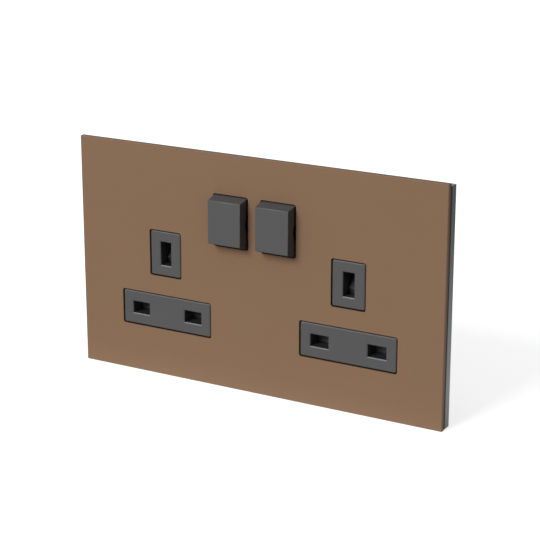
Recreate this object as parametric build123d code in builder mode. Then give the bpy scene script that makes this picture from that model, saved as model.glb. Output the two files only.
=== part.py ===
from build123d import *
from math import radians, tan
import os

os.makedirs("parts", exist_ok=True)

# Two-gang switched wall socket for three flat pins. X runs along the plate, Z is up, and the plate faces -Y.
# The origin lies in the wall plane, midway between the two wall fixing holes.
# Heights are distances in front of the wall plane, so what lies inside the wall box has a negative height.

# Pins of the plug that the socket takes
pin_drop = 22.23
live_pin_offset = 11.11
live_pin_width = 6.35
live_pin_height = 3.97
live_pin_length = 17.7
earth_pin_width = 3.97
earth_pin_height = 7.92
earth_pin_length = 22.7

# Places on the front
socket_offset = 37.0
socket_rise = 31.43
rocker_offset = 9.53
rocker_drop = 10.9
fixing_offset = 60.3

# Front plate and the liner behind it
plate_width = 146.0
plate_height = 86.0
plate_thickness = 2.0
plate_edge_break = 0.15
cutout_corner = 0.9
liner_thickness = 0.5
liner_inset = 1.2
liner_gap = 0.25

# Mounting frame
frame_depth = 3.4
frame_top_drop = 1.1
frame_bottom_drop = 0.1
web_thickness = 1.6
rim_wall = 2.0
rib_thickness = 1.2
window_gap = 0.3
fixing_hole_radius = 2.0
fixing_head_radius = 3.8
fixing_head_depth = 2.0
fixing_boss_radius = 4.7
release_notch_width = 12.0
release_notch_depth = 1.2

# Pads of the front moulding that show through the plate
earth_pad_width = 12.57
earth_pad_height = 16.48
live_pad_width = 37.14
live_pad_height = 12.44
pad_gap = 0.43
pad_recess = 0.15
pad_corner = 0.4
mouth_chamfer = 0.3
pin_side_play = 0.195
pin_end_play = 0.36
pin_face_play = 0.25
pin_foot_play = 0.41

# Front moulding behind the plate
body_width = 114.0
body_height = 60.0
body_corner = 2.0
lug_notch_depth = 4.0
lug_notch_height = 14.0
deck_thickness = 2.4
skirt_depth = 8.4
body_wall = 1.8
guide_wall = 1.6
screw_post = 5.6

# Rocker switches
rocker_width = 13.6
rocker_height = 18.3
rocker_plinth = 1.0
rocker_plinth_height = 17.8
rocker_front_width = 13.05
rocker_front_height = 15.6
rocker_front_rise = 0.28
rocker_proud = 4.65
rocker_edge_round = 0.25
rocker_side_gap = 0.3
rocker_end_gap = 0.4
rocker_skirt = 2.75
rocker_side_wall = 1.3
rocker_end_wall = 1.5
rocker_roof = 2.95
pivot_behind_plate = 2.55
pivot_radius = 1.5
pivot_fit = 0.05
pivot_recess_radius = 3.8
pivot_recess_depth = 0.8
post_thickness = 1.4
post_half_width = 2.5
post_side_gap = 0.4
well_side_gap = 0.4
well_end_gap = 0.5
well_wall = 1.2
well_depth = 5.75
well_floor = 1.6
plunger_hole_radius = 3.75

# Plungers and their springs
plunger_radius = 1.9
plunger_fit = 0.1
plunger_tube_wall = 0.9
plunger_tube_length = 4.35
plunger_head_drop = 1.55
plunger_reach = 10.35
plunger_nose = 1.5
plunger_nose_flat = 0.7
plunger_spring_bore = 1.5
plunger_spring_depth = 5.3
plunger_spring_radius = 1.2
spring_roof = 1.25
plunger_spring_turns = 5
spring_wire = 0.2
spring_end = 0.3
coil_sides = 6

# Moving contacts and their fulcrums
contact_gap = 0.25
seesaw_half_length = 8.5
seesaw_width = 5.8
seesaw_thickness = 1.0
ear_thickness = 0.6
ear_drop = 1.9
ear_half_width = 1.5
ear_gap = 0.3
fulcrum_gap = 0.15
fulcrum_radius = 0.5
tip_radius = 1.5
tip_offset = 7.0
tip_thickness = 0.8
tip_opening = 1.15

# Sprung shutters
slide_gap = 0.2
shutter_thickness = 2.0
blade_half_width = 15.5
blade_above = 2.8
blade_below = 3.2
shutter_travel = 5.5
sweep_clearance = 0.17
shutter_web_half_width = 3.0
ramp_side_gap = 0.25
ramp_angle = 45.0
ramp_lead = 1.62
ramp_foot = 2.8
ramp_foot_set = 1.05
ramp_roof_gap = 0.3
shutter_slot_half_width = 1.6
slot_margin = 2.1
slot_rail_gap = 4.2
peg_half_width = 1.2
peg_height = 0.7
peg_gap = 0.3
peg_above_blade = 2.2
shutter_spring_radius = 0.7
shutter_spring_turns = 5
cover_thickness = 1.2
cover_reach = 1.6
cover_window_gap = 1.0

# Brass strips, pin clips and terminals
strip = 0.8
strip_width = 4.0
strip_pillar_step = 13.5
pin_tip_gap = 0.7
neutral_step = 0.9
clip_mouth_gap = 0.5
earth_clip_drop = 2.0
clip_grip_drop = 3.8
clip_flare = 0.9
clip_pinch = 0.3
clip_belly = 0.2
clip_half_width = 2.7
neutral_strip_width = 3.0
leg_step = 2.4
terminal_pitch = 10.0
terminal_width = 8.0
terminal_length = 9.0
terminal_rise = 4.0
wire_way = 3.8
wire_wall = 1.5
tab_end_gap = 1.2

# Rear housing
floor_clearance = 2.7
floor_thickness = 2.0
seat_gap = 0.2
pillar = 3.0

# Screws
screw_hole_gap = 0.3
hidden_round_sides = 12
upper_screw_offset = 34.0
lower_screw_offset = 20.5
lower_screw_rise = 11.0
frame_screw_offset = 50.0
frame_screw_radius = 1.3
frame_screw_head_radius = 2.6
frame_screw_head = 1.0
frame_screw_length = 7.0
housing_screw_radius = 1.4
housing_screw_head_radius = 2.6
housing_screw_head = 1.5
housing_screw_grip = 7.0
terminal_screw_radius = 1.7
terminal_screw_head_radius = 2.5
terminal_screw_head = 1.4
terminal_screw_point = 0.5
driver_slot_width = 0.8
driver_slot_depth = 0.8

# Spring clips that hold the plate on the frame
clip_side_inset = 5.5
clip_row_inset = 6.5
clip_width = 6.0
clip_sheet = 0.4
clip_bulge = 0.7
clip_catch = 0.6
clip_base = 2.5
clip_window_gap = 0.4

# Heights and places that follow
frame_front = frame_depth
web_back = frame_front - web_thickness
plate_back = frame_front + liner_thickness
plate_front = plate_back + plate_thickness
pad_front = plate_front - pad_recess
deck_back = web_back - deck_thickness
parting = deck_back - skirt_depth
body_bottom = -body_height / 2 + body_wall
earth_z = body_bottom + socket_rise
live_z = earth_z - pin_drop
rocker_z = body_height / 2 - rocker_drop
rocker_front_z = rocker_z + rocker_front_rise
live_hole_width = live_pin_width + 2 * pin_end_play
live_hole_height = live_pin_height + 2 * pin_face_play
earth_hole_width = earth_pin_width + 2 * pin_side_play
earth_hole_height = earth_pin_height + 2 * pin_foot_play
pivot_height = plate_front - pivot_behind_plate
rocker_front = plate_front + rocker_proud
well_back = web_back - well_depth
rocker_back = pivot_height - rocker_skirt
tube_back = pivot_height - plunger_tube_length
spring_seat = rocker_front - spring_roof
plunger_head = pivot_height - plunger_head_drop
plunger_tip = pivot_height - plunger_reach
seesaw_front = plunger_tip - contact_gap
seesaw_back = seesaw_front - seesaw_thickness
fulcrum_height = seesaw_back - fulcrum_gap - fulcrum_radius
post_offset = rocker_width / 2 - rocker_side_wall - post_side_gap - post_thickness / 2
stub_length = post_side_gap + rocker_side_wall - pivot_recess_depth - pivot_fit
stub_offset = post_offset + (post_thickness + stub_length) / 2
shutter_front = deck_back - slide_gap
cover_front = shutter_front - shutter_thickness - slide_gap
blade_top = live_z + blade_above
nose_height = web_back - ramp_roof_gap
ramp_nose_z = earth_z - earth_pin_height / 2 + ramp_lead
ramp_bottom = ramp_nose_z - ramp_foot
ramp_top = earth_z - earth_pin_height / 2 + shutter_travel - sweep_clearance
ramp_end_height = nose_height - (ramp_top - ramp_nose_z) * tan(radians(ramp_angle))
slot_top = ramp_bottom - slot_margin
peg_bottom = blade_top + peg_above_blade
spring_y = -shutter_front + shutter_thickness / 2
cover_top = earth_z + earth_hole_height / 2 + cover_reach
live_clip_mouth = cover_front - cover_thickness - clip_mouth_gap
earth_clip_mouth = live_clip_mouth - earth_clip_drop
clip_grip = live_clip_mouth - clip_grip_drop
live_strip_front = plate_front - live_pin_length - pin_tip_gap
neutral_strip_front = live_strip_front - neutral_step
earth_strip_front = plate_front - earth_pin_length - pin_tip_gap
floor_front = earth_strip_front - strip - floor_clearance
housing_back = floor_front - floor_thickness
terminal_front = neutral_strip_front - strip
wire_height = terminal_front - wire_wall - wire_way / 2
frame_height = plate_height - frame_top_drop - frame_bottom_drop
frame_middle = (frame_bottom_drop - frame_top_drop) / 2
terminal_back = floor_front + seat_gap
terminal_base_z = body_bottom + terminal_rise
terminal_top = terminal_base_z + terminal_length
terminal_middle = terminal_base_z + terminal_length / 2
clip_pitch_x = (plate_width - 2 * clip_side_inset) / 3
clip_row_z = plate_height / 2 - clip_row_inset
upper_strip_bottom = rocker_z + tip_offset - strip_width / 2
upper_screw_z = (cover_top + upper_strip_bottom) / 2
lower_screw_z = live_z + lower_screw_rise
housing_screw_places = [
    (-upper_screw_offset, upper_screw_z),
    (upper_screw_offset, upper_screw_z),
    (-lower_screw_offset, lower_screw_z),
    (lower_screw_offset, lower_screw_z),
]
frame_screw_places = [(-frame_screw_offset, upper_screw_z), (frame_screw_offset, upper_screw_z)]
terminal_places = [terminal_pitch * (place - 1.5) for place in range(4)]
strip_pillar_z = (earth_z + rocker_z) / 2
pillars = {
    live_strip_front - strip: [
        (-socket_offset + live_pin_offset, strip_pillar_z),
        (socket_offset + live_pin_offset, strip_pillar_z),
        (-rocker_offset, rocker_z + tip_offset),
        (rocker_offset, rocker_z + tip_offset),
        (0, rocker_z),
    ],
    terminal_front: [
        (-socket_offset, body_bottom + pillar / 2),
        (-socket_offset + strip_pillar_step, body_bottom + pillar / 2),
    ],
    earth_strip_front - strip: [(-socket_offset / 2, earth_z), (socket_offset / 2, earth_z)],
}
sides = {"left": -1, "right": 1}


def front_plane(height):
    return Plane.XZ.offset(height)


def side_plane(x):
    return Plane(origin=(x, 0, 0), x_dir=(0, -1, 0), z_dir=(-1, 0, 0))


def level_plane(z):
    return Plane(origin=(0, 0, z), x_dir=(1, 0, 0), z_dir=(0, 0, -1))


def span(x_from, x_to, z_from, z_to, mode=Mode.ADD):
    with Locations(((x_from + x_to) / 2, (z_from + z_to) / 2)):
        Rectangle(abs(x_to - x_from), abs(z_to - z_from), mode=mode)


def pads(gap=0, mode=Mode.ADD):
    """Outlines of the four pads, grown by a gap."""
    with Locations((-socket_offset, earth_z), (socket_offset, earth_z)):
        Rectangle(earth_pad_width + 2 * gap, earth_pad_height + 2 * gap, mode=mode)
    with Locations((-socket_offset, live_z), (socket_offset, live_z)):
        Rectangle(live_pad_width + 2 * gap, live_pad_height + 2 * gap, mode=mode)


def rockers(side_gap, end_gap, mode=Mode.ADD):
    """Outlines of the two rockers, grown by a gap at the sides and one at the ends."""
    with Locations((-rocker_offset, rocker_z), (rocker_offset, rocker_z)):
        Rectangle(rocker_width + 2 * side_gap, rocker_height + 2 * end_gap, mode=mode)


def body_outline(inset):
    """Outline of the housing halves, notched at each end for the box lugs."""
    RectangleRounded(body_width - 2 * inset, body_height - 2 * inset, body_corner)
    with Locations((-body_width / 2, 0), (body_width / 2, 0)):
        Rectangle(2 * (lug_notch_depth + inset), lug_notch_height + 2 * inset, mode=Mode.SUBTRACT)


def pin_holes(gap, mode):
    """Outlines of the six pin openings, grown by a gap."""
    for socket in (-socket_offset, socket_offset):
        with Locations((socket, earth_z)):
            Rectangle(earth_hole_width + 2 * gap, earth_hole_height + 2 * gap, mode=mode)
        with Locations((socket - live_pin_offset, live_z), (socket + live_pin_offset, live_z)):
            Rectangle(live_hole_width + 2 * gap, live_hole_height + 2 * gap, mode=mode)


def hidden_round(radius, mode=Mode.ADD):
    """A round that nobody sees, with few sides."""
    RegularPolygon(radius, hidden_round_sides, mode=mode)


def plate_clip_places():
    return GridLocations(clip_pitch_x, 2 * clip_row_z, 3, 2)


def spots(height, places):
    """Drilling planes that face the viewer at a height in front of the wall."""
    return Locations(*[Plane(origin=(x, -height, z), x_dir=(1, 0, 0), z_dir=(0, -1, 0)) for x, z in places])


def back_spots(height, places):
    """Drilling planes that face the wall box."""
    return Locations(*[Plane(origin=(x, -height, z), x_dir=(1, 0, 0), z_dir=(0, 1, 0)) for x, z in places])


def coil_path(base, radius, length, turns):
    """Points of a helix that climbs from a base plane along its normal."""
    steps = turns * coil_sides
    for step in range(steps + 1):
        turn = Vector(radius, 0, length * step / steps).rotate(Axis.Z, 360 * step / coil_sides)
        yield base.from_local_coords(turn)


def save(piece, name):
    piece.label = name
    export_step(piece, f"parts/{name}.step")


# Front plate: flat bronze-finished sheet with openings for the pads and rockers
with BuildPart() as front_plate:
    with BuildSketch(front_plane(plate_back)) as cutouts:
        Rectangle(plate_width, plate_height)
        pads(pad_gap, Mode.SUBTRACT)
        rockers(rocker_side_gap, rocker_end_gap, Mode.SUBTRACT)
        fillet(cutouts.vertices().sort_by(SortBy.DISTANCE)[:-4], cutout_corner)
    extrude(amount=plate_thickness)
    rim = front_plate.edges().group_by(Axis.Y)[0].sort_by(SortBy.LENGTH)[-4:]
    chamfer(rim, plate_edge_break)
save(front_plate.part, "front_plate")

# Plate liner: thin insulating sheet, set back from the plate's edge
with BuildPart() as plate_liner:
    with BuildSketch(front_plane(frame_front)):
        Rectangle(plate_width - 2 * liner_inset, plate_height - 2 * liner_inset)
        pads(pad_gap + liner_gap, Mode.SUBTRACT)
        rockers(rocker_side_gap + liner_gap, rocker_end_gap + liner_gap, Mode.SUBTRACT)
        with plate_clip_places():
            Rectangle(clip_width + 2 * clip_window_gap, 2 * (clip_base + clip_window_gap), mode=Mode.SUBTRACT)
    extrude(amount=liner_thickness)
save(plate_liner.part, "plate_liner")

# Plate clips: six bent spring-steel clips fixed behind the plate
with BuildPart() as plate_clip:
    with BuildSketch(side_plane(0)):
        with BuildLine():
            Polyline(
                (plate_back - clip_sheet / 2, -clip_base),
                (plate_back - clip_sheet / 2, clip_sheet),
                (web_back, clip_sheet),
                (web_back - clip_catch, clip_sheet + clip_bulge),
                (web_back - 2 * clip_catch, clip_sheet),
            )
        trace(line_width=clip_sheet)
    extrude(amount=clip_width / 2, both=True)

with BuildPart() as plate_clips:
    for column in (-1, 0, 1):
        with Locations(Location((column * clip_pitch_x, 0, clip_row_z))):
            add(plate_clip.part)
        with Locations(Location((column * clip_pitch_x, 0, -clip_row_z), (0, 180, 0))):
            add(plate_clip.part)
save(plate_clips.part, "plate_clips")

# Mounting frame: tray that screws to the wall box and carries everything
with BuildPart() as mounting_frame:
    with BuildSketch(front_plane(0)):
        with Locations((0, frame_middle)):
            Rectangle(plate_width, frame_height)
    extrude(amount=frame_front)
    with BuildSketch(front_plane(0)):
        with Locations((0, frame_middle)):
            Rectangle(plate_width - 2 * rim_wall, frame_height - 2 * rim_wall)
    extrude(amount=web_back, mode=Mode.SUBTRACT)
    with BuildSketch(front_plane(seat_gap)):
        for x in (-1.5 * clip_pitch_x, -clip_pitch_x / 2, clip_pitch_x / 2, 1.5 * clip_pitch_x):
            with Locations((x, frame_middle)):
                Rectangle(rib_thickness, frame_height - rim_wall)
        for z in (-body_height / 4, body_height / 4):
            with Locations((0, z)):
                Rectangle(plate_width - rim_wall, rib_thickness)
        Rectangle(body_width + 2 * window_gap, body_height + 2 * window_gap, mode=Mode.SUBTRACT)
    extrude(amount=web_back - seat_gap)
    with BuildSketch(front_plane(0)):
        with Locations((-fixing_offset, 0), (fixing_offset, 0)):
            hidden_round(fixing_boss_radius)
    extrude(amount=web_back)
    with BuildSketch(front_plane(web_back)):
        pads(pad_gap + window_gap)
        rockers(rocker_side_gap + window_gap, rocker_end_gap + window_gap)
        with plate_clip_places():
            Rectangle(clip_width + 2 * clip_window_gap, 2 * (1.5 * clip_sheet + clip_window_gap))
    extrude(amount=web_thickness, mode=Mode.SUBTRACT)
    with spots(frame_front, [(-fixing_offset, 0), (fixing_offset, 0)]):
        Hole(fixing_hole_radius, frame_front)
    with BuildSketch(front_plane(frame_front - fixing_head_depth)):
        with Locations((-fixing_offset, 0), (fixing_offset, 0)):
            hidden_round(fixing_head_radius)
    extrude(amount=fixing_head_depth, mode=Mode.SUBTRACT)
    with BuildSketch(front_plane(web_back)):
        with Locations(*frame_screw_places):
            hidden_round(frame_screw_radius + screw_hole_gap)
    extrude(amount=web_thickness, mode=Mode.SUBTRACT)
    with BuildSketch(front_plane(frame_front - frame_screw_head)):
        with Locations(*frame_screw_places):
            hidden_round(frame_screw_head_radius + screw_hole_gap)
    extrude(amount=frame_screw_head, mode=Mode.SUBTRACT)
    with BuildSketch(front_plane(frame_front - release_notch_depth)):
        with Locations((0, frame_middle - frame_height / 2)):
            Rectangle(release_notch_width, rim_wall)
    extrude(amount=release_notch_depth, mode=Mode.SUBTRACT)
save(mounting_frame.part, "mounting_frame")

# Frame screws: flat-headed self-tapping screws from the frame into the front moulding
with BuildPart() as frame_screws:
    with BuildSketch(front_plane(frame_front - frame_screw_length)):
        with Locations(*frame_screw_places):
            hidden_round(frame_screw_radius)
    extrude(amount=frame_screw_length - frame_screw_head)
    with BuildSketch(front_plane(frame_front - frame_screw_head)):
        with Locations(*frame_screw_places):
            hidden_round(frame_screw_head_radius)
    extrude(amount=frame_screw_head)
    with BuildSketch(front_plane(frame_front - driver_slot_depth)):
        with Locations(*frame_screw_places):
            Rectangle(2 * frame_screw_radius, driver_slot_width)
    extrude(amount=driver_slot_depth, mode=Mode.SUBTRACT)
save(frame_screws.part, "frame_screws")

# Front moulding: shell with the pads, pin openings, rocker wells and shutter guides
with BuildPart() as front_moulding:
    with BuildSketch(front_plane(parting)):
        body_outline(0)
    extrude(amount=web_back - parting)
    with BuildSketch(front_plane(parting)):
        body_outline(body_wall)
    extrude(amount=deck_back - parting, mode=Mode.SUBTRACT)
    with BuildSketch(front_plane(web_back)) as pad_outlines:
        pads()
        chamfer(pad_outlines.vertices(), pad_corner)
    extrude(amount=pad_front - web_back)
    with BuildSketch(front_plane(deck_back)):
        pin_holes(0, Mode.ADD)
    extrude(amount=pad_front - deck_back, mode=Mode.SUBTRACT)
    chamfer(front_moulding.edges().group_by(Axis.Y)[0], mouth_chamfer)
    # Wells that the rockers sit in, each with a floor that the plunger passes through
    with BuildSketch(front_plane(well_back)):
        rockers(well_side_gap + well_wall, well_end_gap + well_wall)
    extrude(amount=deck_back - well_back)
    with BuildSketch(front_plane(well_back + well_floor)):
        rockers(well_side_gap, well_end_gap)
    extrude(amount=web_back - well_back - well_floor, mode=Mode.SUBTRACT)
    with BuildSketch(front_plane(well_back)):
        with Locations((-rocker_offset, rocker_z), (rocker_offset, rocker_z)):
            hidden_round(plunger_hole_radius)
    extrude(amount=well_floor, mode=Mode.SUBTRACT)
    # Pivot posts inside each rocker, with a stub on the outer face of each
    for centre in (-rocker_offset, rocker_offset):
        for side in (-1, 1):
            with BuildSketch(side_plane(centre + side * post_offset)):
                span(
                    well_back,
                    pivot_height + post_half_width,
                    rocker_z - post_half_width,
                    rocker_z + post_half_width,
                )
            extrude(amount=post_thickness / 2, both=True)
            with BuildSketch(side_plane(centre + side * stub_offset)):
                with Locations((pivot_height, rocker_z)):
                    Circle(pivot_radius)
            extrude(amount=stub_length / 2, both=True)
    # Pockets that the shutter ramps sink into, below each earth opening
    with BuildSketch(front_plane(deck_back)):
        for socket in (-socket_offset, socket_offset):
            span(
                socket - earth_hole_width / 2,
                socket + earth_hole_width / 2,
                ramp_bottom - shutter_travel - window_gap,
                earth_z - earth_hole_height / 2 + mouth_chamfer,
            )
    extrude(amount=nose_height + window_gap - deck_back, mode=Mode.SUBTRACT)
    # Guide rails that the shutters run between and the covers sit on
    with BuildSketch(front_plane(cover_front)):
        for socket in (-socket_offset, socket_offset):
            for side in (-1, 1):
                rail = socket + side * (blade_half_width + slide_gap + guide_wall / 2)
                span(rail - guide_wall / 2, rail + guide_wall / 2, body_bottom, blade_top + guide_wall)
                rail = socket + side * (shutter_web_half_width + slide_gap + guide_wall / 2)
                span(rail - guide_wall / 2, rail + guide_wall / 2, blade_top + slot_rail_gap, cover_top)
            span(socket - peg_half_width, socket + peg_half_width, peg_bottom, peg_bottom + peg_height)
    extrude(amount=deck_back - cover_front)
    # Square posts for the screws
    with BuildSketch(front_plane(parting)):
        with Locations(*housing_screw_places):
            Rectangle(screw_post, screw_post)
    extrude(amount=deck_back - parting)
    with BuildSketch(front_plane(frame_front - frame_screw_length - seat_gap)):
        with Locations(*frame_screw_places):
            Rectangle(screw_post, screw_post)
    extrude(amount=deck_back - frame_front + frame_screw_length + seat_gap)
    with BuildSketch(front_plane(parting)):
        with Locations(*housing_screw_places):
            hidden_round(housing_screw_radius)
    extrude(amount=housing_screw_grip, mode=Mode.SUBTRACT)
    with BuildSketch(front_plane(frame_front - frame_screw_length)):
        with Locations(*frame_screw_places):
            hidden_round(frame_screw_radius)
    extrude(amount=frame_screw_length - web_thickness, mode=Mode.SUBTRACT)
save(front_moulding.part, "front_moulding")

# Shutters and their covers, one of each behind each socket
for name, side in sides.items():
    socket = side * socket_offset
    with BuildPart() as shutter:
        with BuildSketch(front_plane(shutter_front - shutter_thickness)):
            span(socket - blade_half_width, socket + blade_half_width, live_z - blade_below, blade_top)
            span(
                socket - shutter_web_half_width,
                socket + shutter_web_half_width,
                blade_top,
                ramp_nose_z,
            )
            span(
                socket - shutter_slot_half_width,
                socket + shutter_slot_half_width,
                peg_bottom - peg_gap,
                slot_top,
                mode=Mode.SUBTRACT,
            )
        extrude(amount=shutter_thickness)
        with BuildSketch(side_plane(socket)):
            with BuildLine():
                Polyline(
                    (shutter_front - shutter_thickness, ramp_bottom),
                    (nose_height - ramp_foot_set, ramp_bottom),
                    (nose_height, ramp_nose_z),
                    (ramp_end_height, ramp_top),
                    (shutter_front - shutter_thickness, ramp_top),
                    close=True,
                )
            make_face()
        extrude(amount=earth_hole_width / 2 - ramp_side_gap, both=True)
    save(shutter.part, f"shutter_{name}")

    with BuildPart() as shutter_spring:
        with BuildLine() as path:
            Polyline(
                *coil_path(
                    Plane(origin=(socket, spring_y, peg_bottom + peg_height + spring_end), z_dir=(0, 0, 1)),
                    shutter_spring_radius,
                    slot_top - peg_bottom - peg_height - 2 * spring_end,
                    shutter_spring_turns,
                )
            )
        with BuildSketch(Plane(origin=path.line @ 0, z_dir=path.line % 0)):
            RegularPolygon(spring_wire, 4)
        sweep(transition=Transition.RIGHT)
    save(shutter_spring.part, f"shutter_spring_{name}")

    with BuildPart() as shutter_cover:
        with BuildSketch(front_plane(cover_front - cover_thickness)):
            reach = blade_half_width + slide_gap + guide_wall
            span(socket - reach, socket + reach, body_bottom + 2 * seat_gap, blade_top + guide_wall)
            reach = shutter_web_half_width + slide_gap + guide_wall
            span(socket - reach, socket + reach, blade_top, cover_top)
            with Locations((socket, earth_z)):
                Rectangle(
                    earth_hole_width + cover_window_gap,
                    earth_hole_height + cover_window_gap,
                    mode=Mode.SUBTRACT,
                )
            with Locations((socket - live_pin_offset, live_z), (socket + live_pin_offset, live_z)):
                Rectangle(
                    live_hole_width + cover_window_gap,
                    live_hole_height + cover_window_gap,
                    mode=Mode.SUBTRACT,
                )
        extrude(amount=cover_thickness)
    save(shutter_cover.part, f"shutter_cover_{name}")

# Rocker, plunger, plunger spring and moving contact of each switch
for name, side in sides.items():
    centre = side * rocker_offset
    with BuildPart() as rocker:
        with BuildSketch(side_plane(centre)):
            with BuildLine():
                Polyline(
                    (rocker_back, rocker_z - rocker_height / 2),
                    (plate_front, rocker_z - rocker_height / 2),
                    (plate_front + rocker_plinth, rocker_z - rocker_plinth_height / 2),
                    (rocker_front, rocker_front_z - rocker_front_height / 2),
                    (rocker_front, rocker_front_z + rocker_front_height / 2),
                    (plate_front + rocker_plinth, rocker_z + rocker_plinth_height / 2),
                    (plate_front, rocker_z + rocker_height / 2),
                    (rocker_back, rocker_z + rocker_height / 2),
                    close=True,
                )
            make_face()
        extrude(amount=rocker_width / 2, both=True)
        with BuildSketch(level_plane(rocker_z)):
            with BuildLine():
                Polyline(
                    (centre - rocker_width / 2, rocker_back),
                    (centre - rocker_width / 2, plate_front + rocker_plinth),
                    (centre - rocker_front_width / 2, rocker_front),
                    (centre + rocker_front_width / 2, rocker_front),
                    (centre + rocker_width / 2, plate_front + rocker_plinth),
                    (centre + rocker_width / 2, rocker_back),
                    close=True,
                )
            make_face()
        extrude(amount=rocker_height / 2, both=True, mode=Mode.INTERSECT)
        fillet(rocker.edges().group_by(Axis.Y)[0], rocker_edge_round)
        with BuildSketch(front_plane(rocker_back)):
            with Locations((centre, rocker_z)):
                Rectangle(rocker_width - 2 * rocker_side_wall, rocker_height - 2 * rocker_end_wall)
        extrude(amount=rocker_front - rocker_roof - rocker_back, mode=Mode.SUBTRACT)
        with BuildSketch(front_plane(tube_back)):
            with Locations((centre, rocker_z)):
                hidden_round(plunger_radius + plunger_fit + plunger_tube_wall)
        extrude(amount=rocker_front - rocker_roof - tube_back)
        with back_spots(tube_back, [(centre, rocker_z)]):
            Hole(plunger_radius + plunger_fit, spring_seat - tube_back)
        for cheek in (-1, 1):
            with BuildSketch(side_plane(centre + cheek * (rocker_width - rocker_side_wall) / 2)):
                with Locations((pivot_height, rocker_z)):
                    Circle(pivot_radius + pivot_fit)
            extrude(amount=rocker_side_wall / 2, both=True, mode=Mode.SUBTRACT)
            with BuildSketch(side_plane(centre + cheek * rocker_width / 2)):
                with Locations((pivot_height, rocker_z)):
                    Circle(pivot_recess_radius)
            extrude(amount=pivot_recess_depth, both=True, mode=Mode.SUBTRACT)
    save(rocker.part, f"rocker_{name}")

    with BuildPart() as plunger:
        with BuildSketch(level_plane(rocker_z)):
            with BuildLine():
                Polyline(
                    (centre, plunger_tip),
                    (centre, plunger_head - plunger_spring_depth),
                    (centre + plunger_spring_bore, plunger_head - plunger_spring_depth),
                    (centre + plunger_spring_bore, plunger_head),
                    (centre + plunger_radius, plunger_head),
                    (centre + plunger_radius, plunger_tip + plunger_nose),
                    (centre + plunger_nose_flat, plunger_tip),
                    close=True,
                )
            make_face()
        revolve(axis=Axis((centre, 0, rocker_z), (0, 1, 0)))
    save(plunger.part, f"plunger_{name}")

    with BuildPart() as plunger_spring:
        with BuildLine() as path:
            Polyline(
                *coil_path(
                    Plane(origin=(centre, -spring_seat + spring_end, rocker_z), z_dir=(0, 1, 0)),
                    plunger_spring_radius,
                    spring_seat - plunger_head + plunger_spring_depth - 2 * spring_end,
                    plunger_spring_turns,
                )
            )
        with BuildSketch(Plane(origin=path.line @ 0, z_dir=path.line % 0)):
            RegularPolygon(spring_wire, 4)
        sweep(transition=Transition.RIGHT)
    save(plunger_spring.part, f"plunger_spring_{name}")

    with BuildPart() as moving_contact:
        with BuildSketch(front_plane(seesaw_back)):
            with Locations((centre, rocker_z)):
                Rectangle(seesaw_width, 2 * seesaw_half_length)
        extrude(amount=seesaw_thickness)
        with BuildSketch(front_plane(seesaw_back - ear_drop)):
            for cheek in (-1, 1):
                with Locations((centre + cheek * (seesaw_width - ear_thickness) / 2, rocker_z)):
                    Rectangle(ear_thickness, 2 * ear_half_width)
        extrude(amount=ear_drop)
    save(moving_contact.part, f"moving_contact_{name}")

    with BuildPart() as moving_tip:
        with BuildSketch(front_plane(seesaw_back - tip_thickness)):
            with Locations((centre, rocker_z + tip_offset)):
                hidden_round(tip_radius)
        extrude(amount=tip_thickness)
    save(moving_tip.part, f"moving_tip_{name}")

    with BuildPart() as fixed_tip:
        with BuildSketch(front_plane(live_strip_front)):
            with Locations((centre, rocker_z + tip_offset)):
                hidden_round(tip_radius)
        extrude(amount=seesaw_back - tip_thickness - tip_opening - live_strip_front)
    save(fixed_tip.part, f"fixed_tip_{name}")


def live_clip(base):
    """Points of a folded clip for a live or neutral pin: two leaves joined by a base at a height."""
    half = live_pin_height / 2
    return [
        (live_clip_mouth, live_z + half + clip_flare),
        (clip_grip, live_z + half - clip_pinch + strip / 2),
        (base, live_z + half + clip_belly + strip / 2),
        (base, live_z - half - clip_belly - strip / 2),
        (clip_grip, live_z - half + clip_pinch - strip / 2),
        (live_clip_mouth, live_z - half - clip_flare),
    ]


def earth_clip(x, base):
    """Points of a folded clip for an earth pin, with its leaves to the left and right of the pin."""
    half = earth_pin_width / 2
    return [
        (x + half + clip_flare, earth_clip_mouth),
        (x + half - clip_pinch + strip / 2, clip_grip),
        (x + half + clip_belly + strip / 2, base),
        (x - half - clip_belly - strip / 2, base),
        (x - half + clip_pinch - strip / 2, clip_grip),
        (x - half - clip_flare, earth_clip_mouth),
    ]


def terminal_leg(start_height, start_z, bend_z):
    """Points of a strip that runs down from a busbar and steps forward onto the face of a terminal."""
    return [
        (start_height, start_z),
        (start_height, bend_z),
        (terminal_front + strip / 2, terminal_top + leg_step),
        (terminal_front + strip / 2, terminal_base_z + tab_end_gap),
    ]


# Line busbar: fulcrums of both moving contacts and the leg to the line terminal
with BuildPart() as line_busbar:
    with BuildSketch(front_plane(live_strip_front - strip)):
        with Locations((0, rocker_z)):
            Rectangle(2 * rocker_offset + strip_width, strip_width)
    extrude(amount=strip)
    for centre in (-rocker_offset, rocker_offset):
        with BuildSketch(side_plane(centre)):
            with BuildLine():
                Polyline(
                    (live_strip_front, rocker_z - strip_width / 2),
                    (fulcrum_height, rocker_z - fulcrum_radius),
                )
                RadiusArc(
                    (fulcrum_height, rocker_z - fulcrum_radius),
                    (fulcrum_height, rocker_z + fulcrum_radius),
                    fulcrum_radius,
                )
                Polyline(
                    (fulcrum_height, rocker_z + fulcrum_radius),
                    (live_strip_front, rocker_z + strip_width / 2),
                    (live_strip_front, rocker_z - strip_width / 2),
                )
            make_face()
        extrude(amount=seesaw_width / 2 - ear_thickness - ear_gap, both=True)
    with BuildSketch(side_plane(terminal_places[2])):
        with BuildLine():
            Polyline(*terminal_leg(live_strip_front - strip / 2, rocker_z, terminal_top + 2 * leg_step))
        trace(line_width=strip)
    extrude(amount=strip_width / 2, both=True)
save(line_busbar.part, "line_busbar")

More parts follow.
